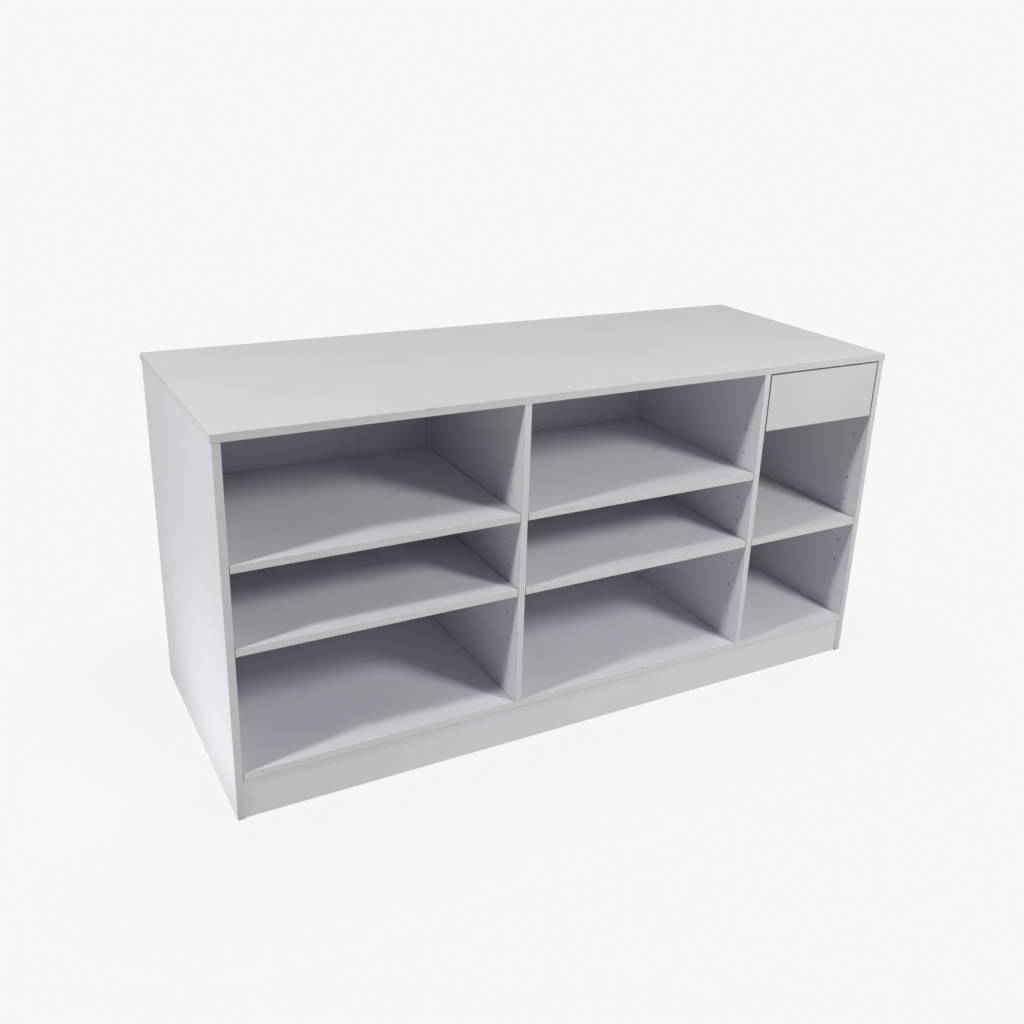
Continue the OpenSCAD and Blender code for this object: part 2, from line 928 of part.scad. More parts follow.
// One flat retainer strip with its row of balls, for the races above and below
module ball_rows(ball_u, ball_v, cage_u, cage_v) {
    color(steel_color)
        for (flip = [0, 1])
            mirror([0, 0, flip]) {
                difference() {
                    board([cage_u[0], cage_y, cage_v], [cage_u[1], cage_y + cage_l, cage_v + cage_t]);
                    ball_places(ball_u, cage_v - cut_over)
                        cylinder(h = cage_t + 2 * cut_over, d = ball_d + 2 * ball_clear);
                }
                ball_places(ball_u, ball_v)
                    sphere(ball_r);
            }
}

module ball_places(ball_u, z) {
    for (i = [0:ball_count - 1])
        translate([ball_u, cage_y + ball_d + i * ball_pitch, z])
            children();
}

module outer_balls() {
    ball_rows(outer_ball_u, outer_ball_v, outer_cage_u, outer_cage_v);
}

module inner_balls() {
    ball_rows(inner_ball_u, inner_ball_v, inner_cage_u, inner_cage_v);
}

module cabinet_member_screws() {
    color(steel_color) {
        left_runner()
            cabinet_screws();
        right_runner()
            cabinet_screws();
    }
}

module cabinet_screws() {
    runner_screw_places()
        translate([runner_sheet, 0, 0])
            rotate([0, -90, 0])
                pan_screw(runner_screw_l);
}

module runner_bumpers() {
    left_runner()
        runner_bumper();
    right_runner()
        runner_bumper();
}

module drawer_member_screws() {
    color(steel_color) {
        left_runner()
            side_screws();
        right_runner()
            side_screws();
    }
}

module side_screws() {
    runner_screw_places()
        translate([drawer_web_u, 0, 0])
            rotate([0, 90, 0])
                pan_screw(runner_screw_l);
}

module side_screw_holes() {
    runner_screw_places()
        translate([drawer_web_u, 0, 0])
            rotate([0, 90, 0])
                pan_hole(runner_screw_l);
}

module front_screw_places() {
    for (side = [-1, 1], z = [box_z + front_screw_z, box_z + box_h - front_screw_z])
        translate([box_middle + side * front_screw_x, front_rear + box_board_t, z])
            rotate([90, 0, 0])
                children();
}

module corner_screw_places() {
    for (y = [front_rear, box_rear - box_board_t], z = [corner_screw_low, box_h - corner_screw_top]) {
        translate([box_left, y + box_board_t / 2, box_z + z])
            rotate([0, 90, 0])
                children();
        translate([box_right, y + box_board_t / 2, box_z + z])
            rotate([0, -90, 0])
                children();
    }
}

module corner_screw_shape(gap) {
    countersunk(corner_screw_l, screw_d, screw_head_d, csk_h, gap);
}

module bottom_groove() {
    board(
        [box_left + box_board_t - groove_d, front_rear + box_board_t - groove_d, bottom_z],
        [box_right - box_board_t + groove_d, box_rear - box_board_t + groove_d,
            bottom_z + bottom_t + groove_gap]
    );
}

module drawer_front() {
    color(board_color)
        difference() {
            board(
                [front_left + edging_t, open_y, front_bottom + edging_t],
                [front_right - edging_t, front_rear, front_top - edging_t]
            );
            front_screw_places()
                pan_hole(front_screw_l);
        }
}

// The four strips are turned about the middle of the drawer front, left one first
module drawer_front_edging() {
    width = front_right - front_left;
    upright_l = drawer_front_h - 2 * edging_t;
    color(edging_color)
        translate([(front_left + front_right) / 2, open_y, (front_bottom + front_top) / 2])
            for (strip = [[0, width, upright_l], [180, width, upright_l],
                          [-90, drawer_front_h, width], [90, drawer_front_h, width]])
                rotate([0, strip[0], 0])
                    translate([edging_t - strip[1] / 2, 0, strip[2] / 2])
                        rotate([180, 0, 90])
                            edge_strip(strip[2], board_t);
}

module drawer_box_front() {
    color(inner_color)
        difference() {
            board(
                [box_left + box_board_t, front_rear, box_z],
                [box_right - box_board_t, front_rear + box_board_t, box_z + box_h]
            );
            bottom_groove();
            front_screw_places()
                pan_hole(front_screw_l);
            corner_screw_places()
                corner_screw_shape(fit_gap);
        }
}

module drawer_box_back() {
    color(inner_color)
        difference() {
            board(
                [box_left + box_board_t, box_rear - box_board_t, box_z],
                [box_right - box_board_t, box_rear, box_z + box_h]
            );
            bottom_groove();
            corner_screw_places()
                corner_screw_shape(fit_gap);
        }
}

module drawer_side(x) {
    color(inner_color)
        difference() {
            board([x, front_rear, box_z], [x + box_board_t, box_rear, box_z + box_h]);
            bottom_groove();
            corner_screw_places()
                corner_screw_shape(fit_gap);
            left_runner()
                side_screw_holes();
            right_runner()
                side_screw_holes();
        }
}

module drawer_left_side() {
    drawer_side(box_left);
}

module drawer_right_side() {
    drawer_side(box_right - box_board_t);
}

module drawer_bottom() {
    color(inner_color)
        board(
            [box_left + box_board_t - groove_in, front_rear + box_board_t - groove_in, bottom_z],
            [box_right - box_board_t + groove_in, box_rear - box_board_t + groove_in,
                bottom_z + bottom_t]
        );
}

module drawer_front_screws() {
    color(steel_color)
        front_screw_places()
            pan_screw(front_screw_l);
}

module drawer_corner_screws() {
    color(steel_color)
        corner_screw_places()
            corner_screw_shape(0);
}

worktop();
worktop_edging();
left_end_panel();
right_end_panel();
end_panel_edgings();
left_divider();
right_divider();
divider_edgings();
deck();
deck_edging();
customer_panel();
kick_board();
plinth_bearers();
shelf_pins();
wooden_dowels();
cam_discs();
cam_bolts();
cam_cover_caps();
deck_screws();
fixing_angles();
angle_screws();
shelf(SHELVES[0]);  // left_bay_upper_shelf
shelf_edging(SHELVES[0]);  // left_bay_upper_shelf_edging
shelf(SHELVES[1]);  // left_bay_lower_shelf
shelf_edging(SHELVES[1]);  // left_bay_lower_shelf_edging
shelf(SHELVES[2]);  // middle_bay_upper_shelf
shelf_edging(SHELVES[2]);  // middle_bay_upper_shelf_edging
shelf(SHELVES[3]);  // middle_bay_lower_shelf
shelf_edging(SHELVES[3]);  // middle_bay_lower_shelf_edging
shelf(SHELVES[4]);  // drawer_bay_shelf
shelf_edging(SHELVES[4]);  // drawer_bay_shelf_edging
left_runner() cabinet_member();  // left_runner_cabinet_member
right_runner() cabinet_member();  // right_runner_cabinet_member
cabinet_member_screws();
left_runner() middle_member();  // left_runner_middle_member
right_runner() middle_member();  // right_runner_middle_member
left_runner() outer_balls();  // left_runner_outer_balls
right_runner() outer_balls();  // right_runner_outer_balls
left_runner() inner_balls();  // left_runner_inner_balls
right_runner() inner_balls();  // right_runner_inner_balls
left_runner() drawer_member();  // left_runner_drawer_member
right_runner() drawer_member();  // right_runner_drawer_member
drawer_member_screws();
runner_bumpers();
drawer_front();
drawer_front_edging();
drawer_box_front();
drawer_box_back();
drawer_left_side();
drawer_right_side();
drawer_bottom();
drawer_front_screws();
drawer_corner_screws();
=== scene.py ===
"""Retail counter seen from its open staff side: the finish of every board, strip, fitting and screw."""
import math

import bmesh
import bpy
from mathutils import Matrix, Vector


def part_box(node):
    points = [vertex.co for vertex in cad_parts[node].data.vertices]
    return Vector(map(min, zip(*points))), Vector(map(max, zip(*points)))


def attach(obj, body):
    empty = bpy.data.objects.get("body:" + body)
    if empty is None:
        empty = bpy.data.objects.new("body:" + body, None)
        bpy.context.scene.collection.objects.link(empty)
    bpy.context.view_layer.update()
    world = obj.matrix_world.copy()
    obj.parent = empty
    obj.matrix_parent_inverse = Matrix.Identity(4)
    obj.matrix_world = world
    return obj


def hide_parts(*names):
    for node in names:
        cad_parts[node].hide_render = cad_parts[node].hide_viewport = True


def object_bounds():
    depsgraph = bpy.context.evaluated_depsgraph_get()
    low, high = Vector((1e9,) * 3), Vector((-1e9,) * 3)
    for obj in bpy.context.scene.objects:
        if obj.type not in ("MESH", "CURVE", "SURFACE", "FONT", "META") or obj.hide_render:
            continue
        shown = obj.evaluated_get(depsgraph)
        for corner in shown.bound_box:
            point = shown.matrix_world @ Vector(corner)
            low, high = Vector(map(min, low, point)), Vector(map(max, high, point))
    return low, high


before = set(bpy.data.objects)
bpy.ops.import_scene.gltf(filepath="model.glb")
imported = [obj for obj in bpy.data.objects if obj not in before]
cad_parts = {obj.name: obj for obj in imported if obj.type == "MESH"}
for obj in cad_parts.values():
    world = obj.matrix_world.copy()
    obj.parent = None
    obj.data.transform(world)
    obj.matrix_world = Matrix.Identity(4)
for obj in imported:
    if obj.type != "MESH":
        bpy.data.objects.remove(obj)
model_low, model_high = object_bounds()
bpy.ops.object.select_all(action="DESELECT")


# Deck, kick board and bearers. Chipboard with white melamine pressed on both faces, sawn to size,
# set between the end panels on dowels and cams. Sawn ends show the bare core; drilled holes and
# grooves are painted near black as painted shade.
MELAMINE_WHITE = (0.70, 0.702, 0.738, 1)
# The deck is the same melamine painted lighter, as painted light.
DECK_LIT_WHITE = (0.752, 0.754, 0.79, 1)
KICK_WHITE = (0.70, 0.691, 0.705, 1)
CHIP_DARK = (0.20, 0.13, 0.075, 1)
CHIP_PALE = (0.56, 0.42, 0.27, 1)
SHADE_AND_GRIME_DARK = (0.014, 0.010, 0.008, 1)
# The brown of the joint lines and the deck strip's end: painted shade and dirt.
SHADE_AND_DIRT_BROWN = (0.16, 0.13, 0.10, 1)
SPECK_BROWN = (0.45, 0.42, 0.38, 1)
CHIPS_PER_METRE = 420
SPECKS_PER_METRE = 26
SPECKLESS_SHARE = 0.8
SKIN_THICKNESS = 0.0004
SAWN_RIM = 0.0012
SAWN_ROUGHNESS = 0.85
PEARL_HEIGHT = 0.00002
CHIPS_TO_PEARL = 12.0
JOINT_WIDTH = 0.0009
BUTT_JOINT_SHADE_AND_DIRT = 0.6
ORIGIN = (0.0, 0.0, 0.0)
ACROSS_X = (1, 0, 0)
ACROSS_Y = (0, 1, 0)
ACROSS_Z = (0, 0, 1)
UPWARDS = (0, 0, 1)
TO_THE_STAFF = (0, -1, 0)
GIVES_A_NUMBER = ("DOT_PRODUCT", "DISTANCE", "LENGTH")


def effect(name, inputs, outputs):
    """An empty node group. The shape of each default tells its socket: number, place or colour."""
    kinds = {1: "NodeSocketFloat", 3: "NodeSocketVector", 4: "NodeSocketColor"}
    tree = bpy.data.node_groups.new(name, "ShaderNodeTree")
    for side, sockets in (("INPUT", inputs), ("OUTPUT", outputs)):
        for label, value in sockets.items():
            size = len(value) if isinstance(value, tuple) else 1
            socket = tree.interface.new_socket(label, in_out=side, socket_type=kinds[size])
            socket.default_value = value
    return tree, tree.nodes.new("NodeGroupInput").outputs, tree.nodes.new("NodeGroupOutput").inputs


def wire(tree, kind, inputs, **settings):
    """Adds a node, sets it up, and feeds its sockets with values or with other nodes' outputs."""
    node = tree.nodes.new(kind)
    for setting, value in settings.items():
        setattr(node, setting, value)
    for socket, source in inputs.items():
        if isinstance(source, bpy.types.NodeSocket):
            tree.links.new(source, node.inputs[socket])
        else:
            node.inputs[socket].default_value = source
    return node


def use(tree, group, inputs):
    """Places a node group and gives its outputs."""
    return wire(tree, "ShaderNodeGroup", inputs, node_tree=group).outputs


def math_node(tree, operation, *values):
    """The result of a sum, product or other sum-like step on one, two or three values."""
    return wire(tree, "ShaderNodeMath", dict(enumerate(values)), operation=operation).outputs[0]


def vector_node(tree, operation, *vectors):
    """The result of a step on one or two places: a place, or a number from a product or a length."""
    node = wire(tree, "ShaderNodeVectorMath", dict(enumerate(vectors)), operation=operation)
    return node.outputs["Value" if operation in GIVES_A_NUMBER else "Vector"]


def axes_of(tree, place):
    """The X, Y and Z of a place."""
    return wire(tree, "ShaderNodeSeparateXYZ", {"Vector": place}).outputs


def between(tree, value, start, end, low=0.0, high=1.0):
    """A smooth step: low where value is under start, high where it is over end."""
    sockets = {"Value": value, "From Min": start, "From Max": end, "To Min": low, "To Max": high}
    node = wire(tree, "ShaderNodeMapRange", sockets, interpolation_type="SMOOTHSTEP")
    return node.outputs["Result"]


def blend_colors(tree, amount, first, second, way="MIX"):
    """Colour first, with colour second laid over it by amount."""
    node = wire(tree, "ShaderNodeMix", {}, data_type="RGBA", blend_type=way)
    for socket, source in (("Factor_Float", amount), ("A_Color", first), ("B_Color", second)):
        target = next(each for each in node.inputs if each.identifier == socket)
        if isinstance(source, bpy.types.NodeSocket):
            tree.links.new(source, target)
        else:
            target.default_value = source
    return next(each for each in node.outputs if each.identifier == "Result_Color")


def darken(tree, color, share):
    """A colour with only a share of its brightness left."""
    grey = wire(tree, "ShaderNodeCombineColor", {"Red": share, "Green": share, "Blue": share})
    return blend_colors(tree, 1.0, color, grey.outputs["Color"], "MULTIPLY")


def noise(tree, place, scale, detail, distortion=0.0):
    """An uneven cloudy pattern of numbers around a half, with scale clouds to a metre."""
    inputs = {"Vector": place, "Scale": scale, "Detail": detail, "Distortion": distortion}
    return wire(tree, "ShaderNodeTexNoise", inputs).outputs["Fac"]


def cells(tree, place, scale):
    """A pattern of cells: a random number for each one, and the distance from its middle."""
    outputs = wire(tree, "ShaderNodeTexVoronoi", {"Vector": place, "Scale": scale}).outputs
    chance = wire(tree, "ShaderNodeSeparateColor", {"Color": outputs["Color"]}).outputs["Red"]
    return chance, outputs["Distance"]


def chipboard_core():
    """Pressed wood chips as a sawn edge shows them; in drilled holes only their relief stays, under painted
    shade.
    """
    outputs = {"Color": CHIP_PALE, "Height": 0.0}
    tree, given, result = effect("chipboard core", {"Place": ORIGIN}, outputs)
    chance, distance = cells(tree, given["Place"], CHIPS_PER_METRE)
    tree.links.new(blend_colors(tree, chance, CHIP_DARK, CHIP_PALE), result["Color"])
    tree.links.new(distance, result["Height"])
    return tree


def melamine_skin():
    """The decor paper: nearly even, with a fine pearl, faint clouds, a few specks and wiped smears."""
    inputs = {"Place": ORIGIN, "Tint": MELAMINE_WHITE, "Gloss Roughness": 0.4, "Wear": 0.5}
    outputs = {"Color": MELAMINE_WHITE, "Roughness": 0.4, "Height": 0.0}
    tree, given, result = effect("melamine skin", inputs, outputs)
    clouds = noise(tree, given["Place"], scale=5.0, detail=3.0)
    clouded = darken(tree, given["Tint"], between(tree, clouds, start=0.35, end=0.65, low=0.975, high=1.0))
    chance, distance = cells(tree, given["Place"], SPECKS_PER_METRE)
    speck = between(tree, distance, start=0.01, end=0.03, low=0.6, high=0.0)
    speck = math_node(tree, "MULTIPLY", speck, math_node(tree, "GREATER_THAN", chance, SPECKLESS_SHARE))
    speck = math_node(tree, "MULTIPLY", speck, given["Wear"])
    tree.links.new(blend_colors(tree, speck, clouded, SPECK_BROWN), result["Color"])
    smears = noise(tree, given["Place"], scale=14.0, detail=5.0, distortion=1.2)
    smear = between(tree, smears, start=0.4, end=0.7, low=0.0, high=0.12)
    rough = math_node(tree, "MULTIPLY_ADD", smear, given["Wear"], given["Gloss Roughness"])
    tree.links.new(rough, result["Roughness"])
    tree.links.new(noise(tree, given["Place"], scale=900.0, detail=2.0), result["Height"])
    return tree


def board_section():
    """Cut is 1 wherever a board is open past its skin, and Bore where that is a hole or a groove."""
    inputs = {"Place": ORIGIN, "Across": ACROSS_Z, "Middle": ORIGIN, "Half": (1.0, 1.0, 1.0)}
    tree, given, result = effect("board section", inputs, {"Cut": 0.0, "Bore": 0.0})
    offset = vector_node(tree, "SUBTRACT", given["Place"], given["Middle"])
    inward = vector_node(tree, "SUBTRACT", given["Half"], vector_node(tree, "ABSOLUTE", offset))
    under = vector_node(tree, "DOT_PRODUCT", inward, given["Across"])
    cut = math_node(tree, "GREATER_THAN", under, SKIN_THICKNESS)
    from_ends = axes_of(tree, vector_node(tree, "ADD", inward, given["Across"]))
    nearest = math_node(tree, "MINIMUM", from_ends["X"], from_ends["Y"])
    nearest = math_node(tree, "MINIMUM", nearest, from_ends["Z"])
    inside = math_node(tree, "GREATER_THAN", nearest, SAWN_RIM)
    tree.links.new(cut, result["Cut"])
    tree.links.new(math_node(tree, "MULTIPLY", cut, inside), result["Bore"])
    return tree


def knocked_spot():
    """A ragged spot around a centre, where a knock has broken the white surface away."""
    inputs = {"Place": ORIGIN, "Centre": ORIGIN, "Reach": 0.005}
    tree, given, result = effect("knocked spot", inputs, {"Amount": 0.0})
    apart = vector_node(tree, "DISTANCE", given["Place"], given["Centre"])
    ragged = noise(tree, given["Place"], scale=420.0, detail=3.0)
    share = between(tree, ragged, start=0.3, end=0.7, low=0.45, high=1.0)
    edge = math_node(tree, "MULTIPLY", share, given["Reach"])
    left = math_node(tree, "DIVIDE", math_node(tree, "SUBTRACT", edge, apart), given["Reach"])
    tree.links.new(between(tree, left, start=0.0, end=0.25), result["Amount"])
    return tree


def joint_line():
    """A thin line of shadow and dirt where two pieces meet, broken up as dirt makes it."""
    inputs = {"Place": ORIGIN, "Across": ACROSS_Z, "Position": 0.0, "Depth": 1.0}
    tree, given, result = effect("joint line", inputs, {"Amount": 0.0})
    along = vector_node(tree, "DOT_PRODUCT", given["Place"], given["Across"])
    apart = math_node(tree, "ABSOLUTE", math_node(tree, "SUBTRACT", along, given["Position"]))
    apart = math_node(tree, "DIVIDE", apart, JOINT_WIDTH)
    line = between(tree, apart, start=0.6, end=1.0, low=1.0, high=0.0)
    uneven = noise(tree, given["Place"], scale=22.0, detail=6.0)
    strength = between(tree, uneven, start=0.35, end=0.6, low=0.35, high=1.0)
    line = math_node(tree, "MULTIPLY", line, strength)
    tree.links.new(math_node(tree, "MULTIPLY", line, given["Depth"]), result["Amount"])
    return tree


CORE = chipboard_core()
SKIN = melamine_skin()
SECTION = board_section()
KNOCK = knocked_spot()
JOINT = joint_line()


def new_material(name):
    """A material, its tree, its shader and the place on the piece that patterns are read from."""
    material = bpy.data.materials.new(name)
    material.use_nodes = True
    tree = material.node_tree
    place = tree.nodes.new("ShaderNodeTexCoord").outputs["Object"]
    return material, tree, tree.nodes["Principled BSDF"], place


def bump(tree, shader, height, distance):
    """Raises the surface by height times distance, in metres."""
    node = wire(tree, "ShaderNodeBump", {"Height": height, "Distance": distance, "Strength": 1.0})
    tree.links.new(node.outputs["Normal"], shader.inputs["Normal"])


def dress(node, material):
    """Gives a node of the model its material."""
    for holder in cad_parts[node].material_slots:
        holder.material = material


def knock(tree, place, color, marks):
    """Lays broken spots over a colour; each mark is a centre, a reach and the colour that it shows."""
    for centre, reach, shown in marks:
        amount = use(tree, KNOCK, {"Place": place, "Centre": centre, "Reach": reach})["Amount"]
        color = blend_colors(tree, amount, color, shown)
    return color


def shade_and_dirt_joints(tree, place, color, joints):
    """Lays joint lines of painted shade and dirt over a colour; each joint is the axis across it, its
    position and its depth.
    """
    for across, position, depth in joints:
        line = use(tree, JOINT, {"Place": place, "Across": across, "Position": position, "Depth": depth})
        color = blend_colors(tree, line["Amount"], color, SHADE_AND_DIRT_BROWN)
    return color


def face_towards(tree, place, middle, direction):
    """1 on the half of a board that lies in a direction from its middle, 0 on the other half."""
    offset = vector_node(tree, "SUBTRACT", place, middle)
    return math_node(tree, "GREATER_THAN", vector_node(tree, "DOT_PRODUCT", offset, direction), 0.0)


def melamine(
    node, across, tint=MELAMINE_WHITE, roughness=0.42, gloss=0.2, wear=0.5, shade_and_soil=0.0,
    marks=(), joints=(), joined_face=None, wrapped=False,
):
    """Melamine-faced board as one node has it, with its skin on the two faces square to across.

    Its joint lines are on both faces, or only on the one that joined_face points to. The skin of a
    wrapped board runs on over its top edge, and its sawn edges are darkened by the given share,
    partly as grime and partly as painted shade.
    """
    low, high = (Vector(corner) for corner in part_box(node))
    middle, half = (low + high) / 2, (high - low) / 2
    material, tree, shader, place = new_material(f"melamine {node.replace('_', ' ')}")
    section = use(tree, SECTION, {"Place": place, "Across": across, "Middle": middle, "Half": half})
    skin = use(tree, SKIN, {"Place": place, "Tint": tint, "Gloss Roughness": roughness, "Wear": wear})
    core = use(tree, CORE, {"Place": place})
    # Sawn edges are darkened by the given share, as grime and as painted shade.
    sawn = blend_colors(tree, shade_and_soil, core["Color"], SHADE_AND_GRIME_DARK)
    color = shade_and_dirt_joints(tree, place, skin["Color"], joints)
    if joined_face:
        shown = face_towards(tree, place, middle, joined_face)
        color = blend_colors(tree, shown, skin["Color"], color)
    cut = section["Cut"]
    if wrapped:
        under_top = math_node(tree, "LESS_THAN", axes_of(tree, place)["Z"], high.z - SKIN_THICKNESS)
        cut = math_node(tree, "MULTIPLY", cut, under_top)
    color = blend_colors(tree, cut, color, sawn)
    # Holes and grooves are painted near black, as painted shade.
    color = blend_colors(tree, section["Bore"], color, SHADE_AND_GRIME_DARK)
    tree.links.new(knock(tree, place, color, marks), shader.inputs["Base Color"])
    rough = between(tree, cut, start=0.0, end=1.0, low=0.0, high=SAWN_ROUGHNESS)
    tree.links.new(math_node(tree, "MAXIMUM", rough, skin["Roughness"]), shader.inputs["Roughness"])
    chips = math_node(tree, "MULTIPLY", core["Height"], cut)
    relief = math_node(tree, "MULTIPLY_ADD", chips, CHIPS_TO_PEARL, skin["Height"])
    bump(tree, shader, relief, PEARL_HEIGHT)
    shader.inputs["Specular IOR Level"].default_value = gloss
    dress(node, material)
    return tree, shader, place


DIVIDERS = ("left_divider", "right_divider")
DIVIDER_FACES = [corner[0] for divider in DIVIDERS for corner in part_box(divider)]
# Lines of painted shade and dirt in the corners where boards meet the dividers, the back and the deck.
AT_THE_DIVIDERS = [(ACROSS_X, face, BUTT_JOINT_SHADE_AND_DIRT) for face in DIVIDER_FACES]
AT_THE_BACK = (ACROSS_Y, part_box("customer_panel")[0][1], BUTT_JOINT_SHADE_AND_DIRT)
AT_THE_DECK = (ACROSS_Z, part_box("left_divider")[0][2], BUTT_JOINT_SHADE_AND_DIRT)
melamine("deck", ACROSS_Z, tint=DECK_LIT_WHITE, joints=AT_THE_DIVIDERS + [AT_THE_BACK], joined_face=UPWARDS)
melamine("kick_board", ACROSS_Y, tint=KICK_WHITE)
melamine("plinth_bearers", ACROSS_X)


# End panels and dividers. Upright boards of the same melamine; the end panels reach the floor, and
# the outer face of the left one has a darker slanting streak.
# The streak lies square to a given direction, at a given distance along it, and shows more towards the rear.
STREAK_GREY = (0.30, 0.295, 0.31, 1)
STREAK_ACROSS = (0, 0.517, 0.856)
STREAK_DISTANCE = 0.42
STREAK_WIDTH = 0.02
STREAK_STRENGTH = 0.09
STREAK_STARTS, STREAK_IN_FULL = -0.3, 0.2

melamine("right_end_panel", ACROSS_X)
for divider in DIVIDERS:
    melamine(divider, ACROSS_X, joints=[AT_THE_DECK, AT_THE_BACK])
tree, shader, place = melamine("left_end_panel", ACROSS_X)
unstreaked = shader.inputs["Base Color"].links[0].from_socket
apart = math_node(tree, "SUBTRACT", vector_node(tree, "DOT_PRODUCT", place, STREAK_ACROSS), STREAK_DISTANCE)
streak = between(tree, math_node(tree, "ABSOLUTE", apart), start=0.0, end=STREAK_WIDTH, low=1.0, high=0.0)
fading = between(tree, axes_of(tree, place)["Y"], STREAK_STARTS, STREAK_IN_FULL, low=0.0, high=STREAK_STRENGTH)
streaked = blend_colors(tree, math_node(tree, "MULTIPLY", streak, fading), unstreaked, STREAK_GREY)
tree.links.new(streaked, shader.inputs["Base Color"])


# Customer panel. One upright board that closes the bays, set in from the rear edges so that the
# customers' feet and bags have room; its inner face is the bays' back.
melamine("customer_panel", ACROSS_Y, joints=AT_THE_DIVIDERS + [AT_THE_DECK], joined_face=TO_THE_STAFF)


# Edging strips. Thin plastic bands glued on by a machine and trimmed with a rounded knife; a fine
# brown line of glue, dirt and painted shade shows along the arrises that hands and brooms rub, and a
# line of painted shadow runs under the deck strip.
EDGING_GREY = (0.62, 0.61, 0.61, 1)
PANEL_STRIP_GREY = (0.6, 0.59, 0.588, 1)
# The deck strip is painted lighter as painted light, and the upper shelves' strips darker as painted shade.
DECK_STRIP_LIT_GREY = (0.655, 0.648, 0.652, 1)
UPPER_STRIP_SHADED_GREY = (0.59, 0.58, 0.575, 1)
GAP_SHADE_AND_HAND_BROWN = (0.2, 0.17, 0.15, 1)
EDGING_ROUGHNESS = 0.5
EDGING_GLOSS = 0.3
EDGING_GRAIN = 0.00002
FACING_SIDEWAYS = 0.7
GLUE_LINE_SHADE_AND_DIRT = 0.5


def edging(node, tint=EDGING_GREY, lit_side_tint=None, marks=(), joints=(), gap_shade_and_grip=None):
    """Plastic edging as one node has it, painted lighter on the strips that face sideways, as painted light.

    The arris given is the front one, darkened as hand grime and as painted shade of the gap round the drawer
    front, with how far back from it that reaches.
    """
    material, tree, shader, place = new_material(f"edging {node.replace('_', ' ')}")
    color = tint
    if lit_side_tint:
        facing = axes_of(tree, tree.nodes["Texture Coordinate"].outputs["Normal"])["X"]
        sideways = math_node(tree, "GREATER_THAN", math_node(tree, "ABSOLUTE", facing), FACING_SIDEWAYS)
        color = blend_colors(tree, sideways, tint, lit_side_tint)
    mottle = noise(tree, place, scale=30.0, detail=4.0)
    color = darken(tree, color, between(tree, mottle, start=0.3, end=0.7, low=1.0, high=0.975))
    # Darker towards the front arris, as hand grime and as painted shade of the gap round the drawer front.
    if gap_shade_and_grip:
        arris, reach = gap_shade_and_grip
        shaded_and_held = between(tree, axes_of(tree, place)["Y"], arris + reach / 3, arris + reach, low=1.0, high=0.0)
        color = blend_colors(tree, shaded_and_held, color, GAP_SHADE_AND_HAND_BROWN)
    color = shade_and_dirt_joints(tree, place, color, joints)
    tree.links.new(knock(tree, place, color, marks), shader.inputs["Base Color"])
    shader.inputs["Roughness"].default_value = EDGING_ROUGHNESS
    shader.inputs["Specular IOR Level"].default_value = EDGING_GLOSS
    bump(tree, shader, noise(tree, place, scale=1300.0, detail=2.0), EDGING_GRAIN)
    dress(node, material)


LEFT_ARRIS, STRIP_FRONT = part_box("end_panel_edgings")[0][:2]
RIGHT_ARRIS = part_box("end_panel_edgings")[1][0]
FOOT_MARKS = [
    ((LEFT_ARRIS, STRIP_FRONT, 0.018), 0.007, (0.44, 0.42, 0.37, 1)),
    ((LEFT_ARRIS + 0.005, STRIP_FRONT, 0.003), 0.009, (0.52, 0.49, 0.46, 1)),
    ((RIGHT_ARRIS - 0.017, STRIP_FRONT, 0.003), 0.006, (0.30, 0.25, 0.19, 1)),
    ((RIGHT_ARRIS - 0.001, STRIP_FRONT, 0.012), 0.004, (0.40, 0.37, 0.33, 1)),
]
RIGHT_PANEL_JOINT = (ACROSS_X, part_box("right_end_panel")[0][0], GLUE_LINE_SHADE_AND_DIRT)
DIVIDER_JOINTS = [(ACROSS_X, face, GLUE_LINE_SHADE_AND_DIRT) for face in DIVIDER_FACES[::2]]
DECK_STRIP_LOW, DECK_STRIP_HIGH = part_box("deck_edging")
DECK_STRIP_HEIGHT = DECK_STRIP_HIGH[2] - DECK_STRIP_LOW[2]
DECK_NICK = ((0.181, STRIP_FRONT, DECK_STRIP_HIGH[2] + 0.0005), 0.0035, CHIP_DARK)
# A row of dark spots up the deck strip's left end: painted shade and dirt where it meets the end panel.
DECK_END = [
    ((DECK_STRIP_LOW[0], STRIP_FRONT, DECK_STRIP_LOW[2] + share * DECK_STRIP_HEIGHT), 0.003, SHADE_AND_DIRT_BROWN)
    for share in (0.1, 0.3, 0.5, 0.7, 0.9, 1.0)
]
# A painted shadow under the deck strip, a fainter line of painted shade and dirt along its top, and a dark
# joint of painted shade and dirt at its left end.
DECK_STRIP_JOINTS = [
    (ACROSS_Z, DECK_STRIP_LOW[2], 0.9),
    (ACROSS_Z, DECK_STRIP_HIGH[2], 0.35),
    (ACROSS_X, DECK_STRIP_LOW[0], 1.0),
]
SHELVES = [
    "left_bay_upper_shelf", "left_bay_lower_shelf", "middle_bay_upper_shelf", "middle_bay_lower_shelf",
    "drawer_bay_shelf",
]
edging("end_panel_edgings", tint=PANEL_STRIP_GREY, marks=FOOT_MARKS, joints=[RIGHT_PANEL_JOINT])
edging("divider_edgings", joints=DIVIDER_JOINTS)
edging("deck_edging", tint=DECK_STRIP_LIT_GREY, marks=[DECK_NICK] + DECK_END, joints=DECK_STRIP_JOINTS)
for shelf in SHELVES:
    edging(f"{shelf}_edging", tint=UPPER_STRIP_SHADED_GREY if "upper" in shelf else EDGING_GREY)


# Worktop. The same kind of board in a greyer white with a smoother, glossier face, laid over the
# panels on dowels and held from below by steel angles; wiped daily, so it has only faint smears.
WORKTOP_GREY = (0.69, 0.684, 0.704, 1)
WORKTOP_STRIP_GREY = (0.568, 0.561, 0.56, 1)
